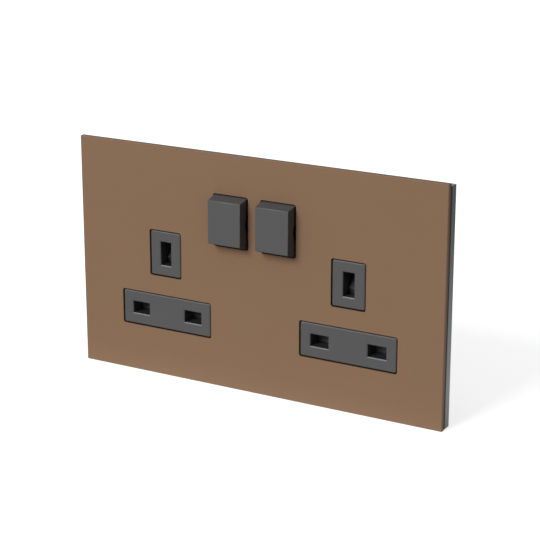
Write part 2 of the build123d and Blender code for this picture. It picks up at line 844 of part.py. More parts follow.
# Switched line contacts: strip from each fixed tip to the line pin clip of its socket
for name, side in sides.items():
    clip_x = side * socket_offset + live_pin_offset
    tip_x = side * rocker_offset
    strip_top = rocker_z + tip_offset + strip_width / 2
    with BuildPart() as line_contact:
        with BuildSketch(front_plane(live_strip_front - strip)):
            half = side * strip_width / 2
            span(clip_x + half, tip_x - half, strip_top - strip_width, strip_top)
            span(clip_x - half, clip_x + half, live_z + live_pin_height / 2 + strip, strip_top)
        extrude(amount=strip)
        with BuildSketch(side_plane(clip_x)):
            with BuildLine():
                Polyline(*live_clip(live_strip_front - strip / 2))
            trace(line_width=strip)
        extrude(amount=clip_half_width, both=True)
    save(line_contact.part, f"line_contact_{name}")

# Neutral busbar: both neutral clips, the strip under them and the tab on the neutral terminal
with BuildPart() as neutral_busbar:
    neutral_clips = [-socket_offset - live_pin_offset, socket_offset - live_pin_offset]
    with BuildSketch(front_plane(terminal_front)):
        span(
            neutral_clips[0] - strip_width / 2,
            neutral_clips[1] + strip_width / 2,
            body_bottom + seat_gap,
            body_bottom + seat_gap + neutral_strip_width,
        )
        for x in neutral_clips:
            clip_start = live_z - live_pin_height / 2 - strip
            span(x - strip_width / 2, x + strip_width / 2, body_bottom + seat_gap, clip_start)
        x = terminal_places[1]
        span(x - strip_width / 2, x + strip_width / 2, body_bottom + seat_gap, terminal_top - tab_end_gap)
    extrude(amount=strip)
    for x in neutral_clips:
        with BuildSketch(side_plane(x)):
            with BuildLine():
                Polyline(*live_clip(neutral_strip_front - strip / 2))
            trace(line_width=strip)
        extrude(amount=clip_half_width, both=True)
save(neutral_busbar.part, "neutral_busbar")

# Earth busbar: both earth clips, the strip that joins them and the legs to the two earth terminals
with BuildPart() as earth_busbar:
    with BuildSketch(front_plane(earth_strip_front - strip)):
        with Locations((0, earth_z)):
            Rectangle(2 * socket_offset, strip_width)
    extrude(amount=strip)
    for x in (-socket_offset, socket_offset):
        with BuildSketch(level_plane(earth_z)):
            with BuildLine():
                Polyline(*earth_clip(x, earth_strip_front - strip / 2))
            trace(line_width=strip)
        extrude(amount=clip_half_width, both=True)
    for x in (terminal_places[0], terminal_places[3]):
        with BuildSketch(side_plane(x)):
            with BuildLine():
                Polyline(*terminal_leg(earth_strip_front - strip / 2, earth_z, terminal_top + 3 * leg_step))
            trace(line_width=strip)
        extrude(amount=strip_width / 2, both=True)
save(earth_busbar.part, "earth_busbar")

# Terminals: brass blocks, each bored for the wires and tapped for its screw
terminal_names = ["earth_terminal_left", "neutral_terminal", "line_terminal", "earth_terminal_right"]
for name, x in zip(terminal_names, terminal_places):
    with BuildPart() as terminal:
        with BuildSketch(front_plane(terminal_back)):
            span(x - terminal_width / 2, x + terminal_width / 2, terminal_base_z, terminal_top)
        extrude(amount=terminal_front - terminal_back)
        with BuildSketch(level_plane(terminal_base_z)):
            with Locations((x, wire_height)):
                Rectangle(wire_way, wire_way)
        extrude(amount=-terminal_length, mode=Mode.SUBTRACT)
        with BuildSketch(front_plane(terminal_back)):
            with Locations((x, terminal_middle)):
                hidden_round(terminal_screw_radius)
        extrude(amount=wire_height - terminal_back, mode=Mode.SUBTRACT)
    save(terminal.part, name)

# Terminal screws: slotted clamping screws, driven from the back
with BuildPart() as terminal_screws:
    with BuildSketch(front_plane(terminal_back)):
        with Locations(*[(x, terminal_middle) for x in terminal_places]):
            hidden_round(terminal_screw_radius)
    extrude(amount=wire_height - wire_way / 2 + terminal_screw_point - terminal_back)
    with BuildSketch(front_plane(terminal_back - terminal_screw_head)):
        with Locations(*[(x, terminal_middle) for x in terminal_places]):
            hidden_round(terminal_screw_head_radius)
    extrude(amount=terminal_screw_head)
    with BuildSketch(front_plane(terminal_back - terminal_screw_head)):
        with Locations(*[(x, terminal_middle) for x in terminal_places]):
            Rectangle(2 * terminal_screw_head_radius, driver_slot_width)
    extrude(amount=driver_slot_depth, mode=Mode.SUBTRACT)
save(terminal_screws.part, "terminal_screws")

# Rear housing: tray that closes the back and holds the strips and terminals
with BuildPart() as rear_housing:
    with BuildSketch(front_plane(housing_back)):
        body_outline(0)
    extrude(amount=parting - housing_back)
    with BuildSketch(front_plane(floor_front)):
        body_outline(body_wall)
    extrude(amount=parting - floor_front, mode=Mode.SUBTRACT)
    # Square posts round the housing screws
    with BuildSketch(front_plane(floor_front)):
        with Locations(*housing_screw_places):
            Rectangle(screw_post, screw_post)
    extrude(amount=parting - floor_front)
    with back_spots(housing_back, housing_screw_places):
        Hole(housing_screw_head_radius + screw_hole_gap, housing_screw_head)
    with BuildSketch(front_plane(housing_back)):
        with Locations(*housing_screw_places):
            hidden_round(housing_screw_radius + screw_hole_gap)
    extrude(amount=parting - housing_back, mode=Mode.SUBTRACT)
    # Ribs that keep the terminals apart, and the wall above them
    with BuildSketch(front_plane(floor_front)):
        for place in range(len(terminal_places) + 1):
            x = terminal_pitch * (place - len(terminal_places) / 2)
            span(x - rib_thickness / 2, x + rib_thickness / 2, body_bottom, terminal_top + seat_gap)
        reach = terminal_pitch * len(terminal_places) / 2 + rib_thickness / 2
        span(-reach, reach, terminal_top + seat_gap, terminal_top + seat_gap + rib_thickness)
    extrude(amount=terminal_front - seat_gap - floor_front)
    # Pillars under the strips
    for pillar_top, places in pillars.items():
        with BuildSketch(front_plane(floor_front)):
            with Locations(*places):
                Rectangle(pillar, pillar)
        extrude(amount=pillar_top - floor_front)
    # Wire entries in the lower wall and driver openings in the back
    with BuildSketch(level_plane(-body_height / 2)):
        with Locations(*[(x, wire_height) for x in terminal_places]):
            Rectangle(wire_way, wire_way)
    extrude(amount=-body_wall, mode=Mode.SUBTRACT)
    with back_spots(housing_back, [(x, terminal_middle) for x in terminal_places]):
        Hole(terminal_screw_head_radius + screw_hole_gap, floor_thickness)
save(rear_housing.part, "rear_housing")

# Housing screws: four long self-tapping screws from the back into the front moulding
with BuildPart() as housing_screws:
    seat = housing_back + housing_screw_head
    with BuildSketch(front_plane(seat)):
        with Locations(*housing_screw_places):
            hidden_round(housing_screw_radius)
    extrude(amount=parting + housing_screw_grip - seat)
    with BuildSketch(front_plane(housing_back)):
        with Locations(*housing_screw_places):
            hidden_round(housing_screw_head_radius)
    extrude(amount=housing_screw_head)
    with BuildSketch(front_plane(housing_back)):
        with Locations(*housing_screw_places):
            Rectangle(2 * housing_screw_radius, driver_slot_width)
            Rectangle(driver_slot_width, 2 * housing_screw_radius)
    extrude(amount=driver_slot_depth, mode=Mode.SUBTRACT)
save(housing_screws.part, "housing_screws")
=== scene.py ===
import math

import bpy
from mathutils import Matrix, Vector


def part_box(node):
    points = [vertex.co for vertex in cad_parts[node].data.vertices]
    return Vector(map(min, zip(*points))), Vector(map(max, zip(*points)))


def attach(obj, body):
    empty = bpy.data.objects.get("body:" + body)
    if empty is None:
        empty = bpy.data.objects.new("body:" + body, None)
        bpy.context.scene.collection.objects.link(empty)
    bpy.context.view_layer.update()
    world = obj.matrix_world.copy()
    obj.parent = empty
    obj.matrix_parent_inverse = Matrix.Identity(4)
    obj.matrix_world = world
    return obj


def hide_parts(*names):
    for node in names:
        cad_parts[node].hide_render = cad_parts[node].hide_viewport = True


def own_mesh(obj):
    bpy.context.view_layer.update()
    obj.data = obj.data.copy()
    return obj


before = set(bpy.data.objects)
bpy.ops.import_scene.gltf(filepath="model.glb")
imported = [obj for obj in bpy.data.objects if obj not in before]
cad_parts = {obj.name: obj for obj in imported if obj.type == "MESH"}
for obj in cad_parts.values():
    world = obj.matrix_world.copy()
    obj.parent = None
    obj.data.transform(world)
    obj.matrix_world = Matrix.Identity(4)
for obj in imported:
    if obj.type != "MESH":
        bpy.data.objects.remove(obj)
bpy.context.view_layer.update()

# Front plate: one flat sheet of steel, pressed out and stoved with a matt bronze lacquer.
# The lacquer hides the steel, so it looks like even, very dull brown paint with a faint orange peel.
# It clips onto the frame and has no screws in its face.
lacquer_colour = "#8C6F57"
lacquer_light = "#8F725A"
# The next two colours are painted shade: on the plate's sides near the frame, and on the cut edges of its
# windows.
rim_shade_colour = "#4F3D30"
cut_edge_shade_colour = "#33291F"
lacquer_roughness = 0.62
roughness_spread = 0.03
orange_peel_mm = 1.1
peel_depth_mm = 0.01
peel_strength = 0.1
cloud_mm = 45
lacquer_edge_mm = 0.2

# The wall is at Y 0, and depths run back from the plate's face. The windows lie within the field given.
plate_face_mm = -5.9
cut_edge_depths_mm = (0.3, 0.7)
window_field_mm = (72.5, 42.5)
rim_depths_mm = (0.2, 1.9)
rim_front_share = 0.2

# A facing is a range of the surface normal, over which a front face turns into a side.
rim_facing = (-0.6, -0.2)


def linear(colour):
    """Turns an sRGB hex colour into the linear values that Blender works in."""
    channels = [int(colour[place : place + 2], 16) / 255 for place in (1, 3, 5)]
    return [*(c / 12.92 if c <= 0.04045 else ((c + 0.055) / 1.055) ** 2.4 for c in channels), 1.0]


def add_node(tree, kind, settings=None, links=None):
    """Adds a shader node, sets its values, and links its inputs to outputs of other nodes."""
    made = tree.nodes.new(kind)
    for name, value in (settings or {}).items():
        if isinstance(name, int) or name in made.inputs:
            made.inputs[name].default_value = value
        else:
            setattr(made, name, value)
    for name, (source, output) in (links or {}).items():
        tree.links.new(source.outputs[output], made.inputs[name])
    return made


def start_material(name):
    """A new material with nothing in it but the place on the object, as its first node."""
    material = bpy.data.materials.new(name)
    material.use_nodes = True
    tree = material.node_tree
    tree.nodes.clear()
    return material, tree, add_node(tree, "ShaderNodeTexCoord")


def close_material(tree, shader):
    """Links the finished shader to the material's output."""
    add_node(tree, "ShaderNodeOutputMaterial", {}, {"Surface": (shader, 0)})


def dress(material, *nodes):
    """Gives CAD nodes a material."""
    for name in nodes:
        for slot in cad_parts[name].material_slots:
            slot.material = material


bronze_lacquer, tree, place = start_material("matt bronze lacquer on steel")
cloud = add_node(
    tree,
    "ShaderNodeTexNoise",
    {"Scale": 1000 / cloud_mm, "Detail": 2.0},
    {"Vector": (place, "Object")},
)
shade = add_node(
    tree,
    "ShaderNodeMixRGB",
    {"Color1": linear(lacquer_colour), "Color2": linear(lacquer_light)},
    {"Fac": (cloud, "Fac")},
)
peel = add_node(
    tree,
    "ShaderNodeTexNoise",
    {"Scale": 1000 / orange_peel_mm, "Detail": 4.0},
    {"Vector": (place, "Object")},
)
dull = add_node(
    tree,
    "ShaderNodeMapRange",
    {"To Min": lacquer_roughness - roughness_spread, "To Max": lacquer_roughness + roughness_spread},
    {"Value": (peel, "Fac")},
)
pressed_edge = add_node(tree, "ShaderNodeBevel", {"samples": 6, "Radius": lacquer_edge_mm / 1000})
relief = add_node(
    tree,
    "ShaderNodeBump",
    {"Strength": peel_strength, "Distance": peel_depth_mm / 1000},
    {"Height": (peel, "Fac"), "Normal": (pressed_edge, "Normal")},
)
spot = add_node(tree, "ShaderNodeSeparateXYZ", {}, {"Vector": (place, "Object")})
facing = add_node(tree, "ShaderNodeSeparateXYZ", {}, {"Vector": (place, "Normal")})

# Painted shade: the plate's sides are painted darker towards the frame, as the shade of the gap behind the
# plate.
side_shade_mask = add_node(
    tree,
    "ShaderNodeMapRange",
    {"From Min": rim_facing[0], "From Max": rim_facing[1]},
    {"Value": (facing, "Y")},
)
backward = add_node(
    tree,
    "ShaderNodeMapRange",
    {
        "From Min": (plate_face_mm + rim_depths_mm[0]) / 1000,
        "From Max": (plate_face_mm + rim_depths_mm[1]) / 1000,
        "To Min": rim_front_share,
    },
    {"Value": (spot, "Y")},
)
rim_shade_share = add_node(
    tree,
    "ShaderNodeMath",
    {"operation": "MULTIPLY"},
    {0: (side_shade_mask, 0), 1: (backward, 0)},
)
rim_shaded = add_node(
    tree,
    "ShaderNodeMixRGB",
    {"Color2": linear(rim_shade_colour)},
    {"Fac": (rim_shade_share, 0), "Color1": (shade, "Color")},
)

# Painted shade: the cut edges of the windows are painted nearly black, as the shade in the gaps round the
# pads and rockers.
inside_x = add_node(
    tree,
    "ShaderNodeMath",
    {"operation": "COMPARE", 1: 0.0, 2: window_field_mm[0] / 1000},
    {0: (spot, "X")},
)
inside_z = add_node(
    tree,
    "ShaderNodeMath",
    {"operation": "COMPARE", 1: 0.0, 2: window_field_mm[1] / 1000},
    {0: (spot, "Z")},
)
inside = add_node(tree, "ShaderNodeMath", {"operation": "MULTIPLY"}, {0: (inside_x, 0), 1: (inside_z, 0)})
below = add_node(
    tree,
    "ShaderNodeMapRange",
    {
        "From Min": (plate_face_mm + cut_edge_depths_mm[0]) / 1000,
        "From Max": (plate_face_mm + cut_edge_depths_mm[1]) / 1000,
    },
    {"Value": (spot, "Y")},
)
window_shade_mask = add_node(tree, "ShaderNodeMath", {"operation": "MULTIPLY"}, {0: (inside, 0), 1: (below, 0)})
edge_shaded = add_node(
    tree,
    "ShaderNodeMixRGB",
    {"Color2": linear(cut_edge_shade_colour)},
    {"Fac": (window_shade_mask, 0), "Color1": (rim_shaded, "Color")},
)
lacquer = add_node(
    tree,
    "ShaderNodeBsdfPrincipled",
    {"IOR": 1.5, "Specular IOR Level": 0.12},
    {"Base Color": (edge_shaded, "Color"), "Roughness": (dull, "Result"), "Normal": (relief, "Normal")},
)
close_material(tree, lacquer)
dress(bronze_lacquer, "front_plate")

# Plate liner: a thin sheet of black polyester, die-cut and laid between the plate and the frame.
# It is cut smaller than both, so it shows as the dark hairline round the edge.
# Its near-black colour is partly painted shade: the sheet fills the gap between plate and frame, and stands
# for the shadow there.
film_gap_shade_colour = "#0E0E0F"


def moulded_plastic(name, colour, roughness, grain_mm, grain_depth_mm, specular=0.5, edge_mm=0.2):
    """Plastic as it leaves the mould: one body colour, clouded by its flow, with soft edges.

    The tool's real grain is under 0.1 mm, too fine to show, so it is drawn as coarse as grain_mm.
    """
    flow_mm = 12
    cloud_share = 0.025
    grain_strength = 0.25
    material, tree, place = start_material(name)
    body = linear(colour)
    flow = add_node(
        tree,
        "ShaderNodeTexNoise",
        {"Scale": 1000 / flow_mm, "Detail": 2.0},
        {"Vector": (place, "Object")},
    )
    tint = add_node(
        tree,
        "ShaderNodeMixRGB",
        {
            "Color1": [c * (1 - cloud_share) for c in body[:3]] + [1.0],
            "Color2": [c * (1 + cloud_share) for c in body[:3]] + [1.0],
        },
        {"Fac": (flow, "Fac")},
    )
    grain = add_node(
        tree,
        "ShaderNodeTexNoise",
        {"Scale": 1000 / grain_mm, "Detail": 3.0},
        {"Vector": (place, "Object")},
    )
    dull = add_node(
        tree,
        "ShaderNodeMapRange",
        {"To Min": roughness - roughness_spread, "To Max": roughness + roughness_spread},
        {"Value": (grain, "Fac")},
    )
    soft_edge = add_node(tree, "ShaderNodeBevel", {"samples": 6, "Radius": edge_mm / 1000})
    relief = add_node(
        tree,
        "ShaderNodeBump",
        {"Strength": grain_strength, "Distance": grain_depth_mm / 1000},
        {"Height": (grain, "Fac"), "Normal": (soft_edge, "Normal")},
    )
    plastic = add_node(
        tree,
        "ShaderNodeBsdfPrincipled",
        {"IOR": 1.53, "Specular IOR Level": specular},
        {"Base Color": (tint, "Color"), "Roughness": (dull, "Result"), "Normal": (relief, "Normal")},
    )
    close_material(tree, plastic)
    return material


gap_shade_film = moulded_plastic(
    "black polyester film",
    film_gap_shade_colour,
    roughness=0.7,
    grain_mm=0.5,
    grain_depth_mm=0.005,
    specular=0.15,
)
dress(gap_shade_film, "plate_liner")

# Mounting frame: a tray of grey ABS that screws to the wall box and carries the plate and the housing.
# Its outer faces are satin from the mould, and a little shinier than the inserts.
# Only its rim shows, and the rim's front is painted darker close behind the plate, as painted shade from the
# plate.
frame_colour = "#525658"
frame_rim_shade_colour = "#2E3133"
frame_rim_y_mm = (-2.2, -3.4)
frame_abs = moulded_plastic(
    "satin grey ABS",
    frame_colour,
    roughness=0.4,
    grain_mm=0.8,
    grain_depth_mm=0.005,
    specular=0.45,
    edge_mm=0.35,
)


def reopen(material):
    """What a piece needs to tint faces of its plastic: the tree, the shader, its colour and the place."""
    tree = material.node_tree
    plastic = next(node for node in tree.nodes if node.type == "BSDF_PRINCIPLED")
    body = plastic.inputs["Base Color"].links[0].from_node
    place = next(node for node in tree.nodes if node.type == "TEX_COORD")
    return tree, plastic, body, place


tree, plastic, body, place = reopen(frame_abs)
# Painted shade on the rim's front, close behind the plate.
spot = add_node(tree, "ShaderNodeSeparateXYZ", {}, {"Vector": (place, "Object")})
frame_shade_mask = add_node(
    tree,
    "ShaderNodeMapRange",
    {"From Min": frame_rim_y_mm[0] / 1000, "From Max": frame_rim_y_mm[1] / 1000},
    {"Value": (spot, "Y")},
)
frame_shaded = add_node(
    tree,
    "ShaderNodeMixRGB",
    {"Color2": linear(frame_rim_shade_colour)},
    {"Fac": (frame_shade_mask, 0), "Color1": (body, 0)},
)
tree.links.new(frame_shaded.outputs[0], plastic.inputs["Base Color"])
dress(frame_abs, "mounting_frame")

# Front moulding: the dark grey polycarbonate shell of the sockets, with the pads that show in the plate.
# The pads are finely spark-eroded, so they look dull and even, with a thin bright line on the eased edges.
# The walls of the pin openings and all that lies deeper are painted darker than the pads, as painted shade.
insert_colour = "#575757"
insert_shade_colour = "#2B2C2E"
insert_depth_y_mm = (-5.4, -5.1)
insert_wall_facing = (-0.5, -0.2)
insert_plastic = moulded_plastic(
    "dull grey polycarbonate",
    insert_colour,
    roughness=0.42,
    grain_mm=0.7,
    grain_depth_mm=0.005,
    specular=0.4,
    edge_mm=0.15,
)
tree, plastic, body, place = reopen(insert_plastic)
# Painted shade in the pin openings and on all that lies deeper than the pads.
spot = add_node(tree, "ShaderNodeSeparateXYZ", {}, {"Vector": (place, "Object")})
facing = add_node(tree, "ShaderNodeSeparateXYZ", {}, {"Vector": (place, "Normal")})
deep_shade_mask = add_node(
    tree,
    "ShaderNodeMapRange",
    {"From Min": insert_depth_y_mm[0] / 1000, "From Max": insert_depth_y_mm[1] / 1000},
    {"Value": (spot, "Y")},
)
side_shade_mask = add_node(
    tree,
    "ShaderNodeMapRange",
    {"From Min": insert_wall_facing[0], "From Max": insert_wall_facing[1]},
    {"Value": (facing, "Y")},
)
recess_shade_mask = add_node(tree, "ShaderNodeMath", {"operation": "MAXIMUM"}, {0: (deep_shade_mask, 0), 1: (side_shade_mask, 0)})
recess_shaded = add_node(
    tree,
    "ShaderNodeMixRGB",
    {"Color2": linear(insert_shade_colour)},
    {"Fac": (recess_shade_mask, 0), "Color1": (body, 0)},
)
tree.links.new(recess_shaded.outputs[0], plastic.inputs["Base Color"])
dress(insert_plastic, "front_moulding")

# Shutters: moulded acetal blades that slide in the front moulding and close the pin openings.
# They are a little darker than the pads, and smooth and slippery where the pins rub.
shutter_acetal = moulded_plastic(
    "smooth grey acetal",
    "#4A4A4B",
    roughness=0.35,
    grain_mm=1.2,
    grain_depth_mm=0.004,
)
dress(shutter_acetal, "shutter_left", "shutter_right")

# Shutter covers: black polyamide plates behind the shutters, which keep them in their guides.
# They are dull from the mould, like the rear housing.
housing_plastic = moulded_plastic(
    "black polyamide",
    "#29292A",
    roughness=0.5,
    grain_mm=0.8,
    grain_depth_mm=0.012,
)
dress(housing_plastic, "shutter_cover_left", "shutter_cover_right")

# Rockers: polycarbonate keys that turn on two pivots in the moulding, in the same grey as the pads.
# They come out of the mould satin with eased edges, and their sides and tops are painted darker than their
# fronts, as painted shade.
# Their square corners are rounded, so that they clear the plate's rounded windows at full tilt.
rocker_colour = "#5B5B5B"
rocker_side_shade_colour = "#393C3E"
rocker_top_shade_colour = "#494A4C"
rocker_foot_shade_colour = "#15171A"
rocker_side_facing = (-0.95, -0.6)
rocker_top_facing = (0.3, 0.8)
rocker_under_facing = (-0.3, -0.7)
rocker_base_y_mm = (-7.1, -6.6)
rocker_corner_mm = 0.3
square_corner_degrees = 88
weld_reach = 1e-6
rocker_plastic = moulded_plastic(
    "satin grey polycarbonate",
    rocker_colour,
    roughness=0.45,
    grain_mm=0.7,
    grain_depth_mm=0.005,
    specular=0.25,
    edge_mm=0.55,
)
tree, plastic, body, place = reopen(rocker_plastic)
facing = add_node(tree, "ShaderNodeSeparateXYZ", {}, {"Vector": (place, "Normal")})
spot = add_node(tree, "ShaderNodeSeparateXYZ", {}, {"Vector": (place, "Object")})
# Painted shade: the sides and the top are painted darker than the front.
side = add_node(
    tree,
    "ShaderNodeMapRange",
    {"From Min": rocker_side_facing[0], "From Max": rocker_side_facing[1]},
    {"Value": (facing, "Y")},
)
top = add_node(
    tree,
    "ShaderNodeMapRange",
    {"From Min": rocker_top_facing[0], "From Max": rocker_top_facing[1]},
    {"Value": (facing, "Z")},
)
face_shade_tint = add_node(
    tree,
    "ShaderNodeMixRGB",
    {"Color1": linear(rocker_side_shade_colour), "Color2": linear(rocker_top_shade_colour)},
    {"Fac": (top, 0)},
)
side_shaded = add_node(
    tree,
    "ShaderNodeMixRGB",
    {},
    {"Fac": (side, 0), "Color1": (body, 0), "Color2": (face_shade_tint, 0)},
)

# Painted shade: the underside and the foot of the sides lie in the plate's shade, and are painted nearly
# black.
under = add_node(
    tree,
    "ShaderNodeMapRange",
    {"From Min": rocker_under_facing[0], "From Max": rocker_under_facing[1]},
    {"Value": (facing, "Z")},
)
low_side = add_node(tree, "ShaderNodeMath", {"operation": "MULTIPLY"}, {0: (under, 0), 1: (side, 0)})
foot = add_node(
    tree,
    "ShaderNodeMapRange",
    {"From Min": rocker_base_y_mm[0] / 1000, "From Max": rocker_base_y_mm[1] / 1000},
    {"Value": (spot, "Y")},
)
not_top = add_node(tree, "ShaderNodeMath", {"operation": "SUBTRACT", 0: 1.0}, {1: (top, 0)})
foot_side = add_node(tree, "ShaderNodeMath", {"operation": "MULTIPLY"}, {0: (foot, 0), 1: (not_top, 0)})
foot_shade_mask = add_node(tree, "ShaderNodeMath", {"operation": "MAXIMUM"}, {0: (foot_side, 0), 1: (low_side, 0)})
foot_shaded = add_node(
    tree,
    "ShaderNodeMixRGB",
    {"Color2": linear(rocker_foot_shade_colour)},
    {"Fac": (foot_shade_mask, 0), "Color1": (side_shaded, 0)},
)
tree.links.new(foot_shaded.outputs[0], plastic.inputs["Base Color"])
dress(rocker_plastic, "rocker_left", "rocker_right")
for name in ("rocker_left", "rocker_right"):
    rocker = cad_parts[name]
    rocker.modifiers.new("joined faces", "WELD").merge_threshold = weld_reach
    corner = rocker.modifiers.new("rounded corners", "BEVEL")
    corner.width = rocker_corner_mm / 1000
    corner.segments = 3
    corner.limit_method = "ANGLE"
    corner.angle_limit = math.radians(square_corner_degrees)
    corner.use_clamp_overlap = False

# Plungers: acetal pins that slide in the rockers' tubes, and that the springs press on the moving contacts.
# The acetal is left its natural white, with a faint sheen.
plunger_acetal = moulded_plastic(
    "natural white acetal",
    "#D8D6CE",
    roughness=0.38,
    grain_mm=1.0,
    grain_depth_mm=0.004,
)
dress(plunger_acetal, "plunger_left", "plunger_right")

# Plate clips: six pieces of spring steel strip, bent cold, left bright and fixed behind the plate.
# The strip keeps the fine lines of the rolls that drew it out.
steel_colour = "#A9ABAD"


def bare_metal(name, colour, roughness, line_mm, direction):
    """Metal with the fine lines that drawing, rolling or turning leaves along one direction.

    Real ones are a few hundredths of a millimetre apart, too fine to show, so they are drawn line_mm apart.
    """
    line_stretch = 25
    line_shade = 0.82
    line_depth_mm = 0.01
    line_strength = 0.3
    duller, shinier = 0.1, 0.08
    broken_edge_mm = 0.12
    material, tree, place = start_material(name)
    stretch = [1000 / line_mm / (line_stretch if axis in direction else 1) for axis in "xyz"]
    along = add_node(tree, "ShaderNodeMapping", {"Scale": stretch}, {"Vector": (place, "Object")})
    lines = add_node(tree, "ShaderNodeTexNoise", {"Scale": 1.0, "Detail": 3.0}, {"Vector": (along, "Vector")})
    body = linear(colour)
    tint = add_node(
        tree,
        "ShaderNodeMixRGB",
        {"Color1": [c * line_shade for c in body[:3]] + [1.0], "Color2": body},
        {"Fac": (lines, "Fac")},
    )
    dull = add_node(
        tree,
        "ShaderNodeMapRange",
        {"To Min": roughness - shinier, "To Max": roughness + duller},
        {"Value": (lines, "Fac")},
    )
    broken_edge = add_node(tree, "ShaderNodeBevel", {"samples": 4, "Radius": broken_edge_mm / 1000})
    relief = add_node(
        tree,
        "ShaderNodeBump",
        {"Strength": line_strength, "Distance": line_depth_mm / 1000},
        {"Height": (lines, "Fac"), "Normal": (broken_edge, "Normal")},
    )
    metal = add_node(
        tree,
        "ShaderNodeBsdfPrincipled",
        {"Metallic": 1.0},
        {"Base Color": (tint, "Color"), "Roughness": (dull, "Result"), "Normal": (relief, "Normal")},
    )
    close_material(tree, metal)
    return material


spring_strip = bare_metal("bright spring strip", steel_colour, roughness=0.3, line_mm=0.4, direction="x")
dress(spring_strip, "plate_clips")

# Springs: round spring wire wound on a mandrel, with the end turns closed so that they sit flat.
# One presses each plunger on its moving contact, and one lifts each shutter back over the pin openings.
# The wire is bright and smooth from the drawing die.
plunger_wire_mm = 0.34
plunger_coil_mm = 1.12
plunger_turns = 11
shutter_wire_mm = 0.26
shutter_coil_mm = 0.66
shutter_turns = 11
closed_turns = 1.2
steps_in_turn = 24
spring_wire = bare_metal("bright drawn spring wire", steel_colour, roughness=0.25, line_mm=0.3, direction="x")


def wound_spring(name, node, lengthwise, coil_mm, wire_mm, turns, body):
    """Winds a spring as long as the CAD one, which it replaces."""
    low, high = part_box(node)
    middle = (low + high) / 2
    across = [axis for axis in range(3) if axis != lengthwise]
    coil, wire = coil_mm / 1000, wire_mm / 1000
    open_length = high[lengthwise] - low[lengthwise] - wire * (1 + 2 * closed_turns)
    curve = bpy.data.curves.new(name, "CURVE")
    curve.dimensions = "3D"
    curve.bevel_depth = wire / 2
    curve.bevel_resolution = 2
    curve.use_fill_caps = True
    line = curve.splines.new("POLY")
    line.points.add(turns * steps_in_turn)
    for step, point in enumerate(line.points):
        turn = step / steps_in_turn
        closed = min(turn, closed_turns) + max(turn - turns + closed_turns, 0)
        opened = min(max((turn - closed_turns) / (turns - 2 * closed_turns), 0), 1)
        spot = list(middle)
        spot[lengthwise] = low[lengthwise] + wire / 2 + closed * wire + opened * open_length
        spot[across[0]] += coil * math.cos(2 * math.pi * turn)
        spot[across[1]] += coil * math.sin(2 * math.pi * turn)
        point.co = (*spot, 1)
    wound = bpy.data.objects.new(name + "_line", curve)
    bpy.context.scene.collection.objects.link(wound)
    mesh = bpy.data.meshes.new_from_object(wound.evaluated_get(bpy.context.evaluated_depsgraph_get()))
    bpy.data.objects.remove(wound)
    mesh.shade_smooth()
    mesh.materials.clear()
    mesh.materials.append(spring_wire)
    spring = bpy.data.objects.new(name, mesh)
    bpy.context.scene.collection.objects.link(spring)
    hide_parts(node)
    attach(spring, body)
    anchor, direction = list(middle), [0, 0, 0]
    anchor[lengthwise] = low[lengthwise]
    direction[lengthwise] = 1
    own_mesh(spring)


for hand in ("left", "right"):
    wound_spring(
        f"plunger_coil_{hand}",
        f"plunger_spring_{hand}",
        lengthwise=1,
        coil_mm=plunger_coil_mm,
        wire_mm=plunger_wire_mm,
        turns=plunger_turns,
        body=f"rocker_{hand}",
    )
    wound_spring(
        f"shutter_coil_{hand}",
        f"shutter_spring_{hand}",
        lengthwise=2,
        coil_mm=shutter_coil_mm,
        wire_mm=shutter_wire_mm,
        turns=shutter_turns,
        body="housing",
    )

# Screws: steel wire with a pressed head and a rolled thread, plated with bright zinc.
# Two short flat ones hold the frame to the sockets, and four long ones close the housing from behind.
# The plating looks bright and slightly blue, and the driver recess is the darkest place on it.
zinc_colour = "#BFC3C6"
zinc_plate = bare_metal("bright zinc on steel", zinc_colour, roughness=0.28, line_mm=0.6, direction="y")
screw_sides = 24
thread_depth_mm = 0.3
thread_steepness = 3
thread_steps = 4
round_steps = 4
point_share = 0.4
recess_taper = 0.85
crease_degrees = 35


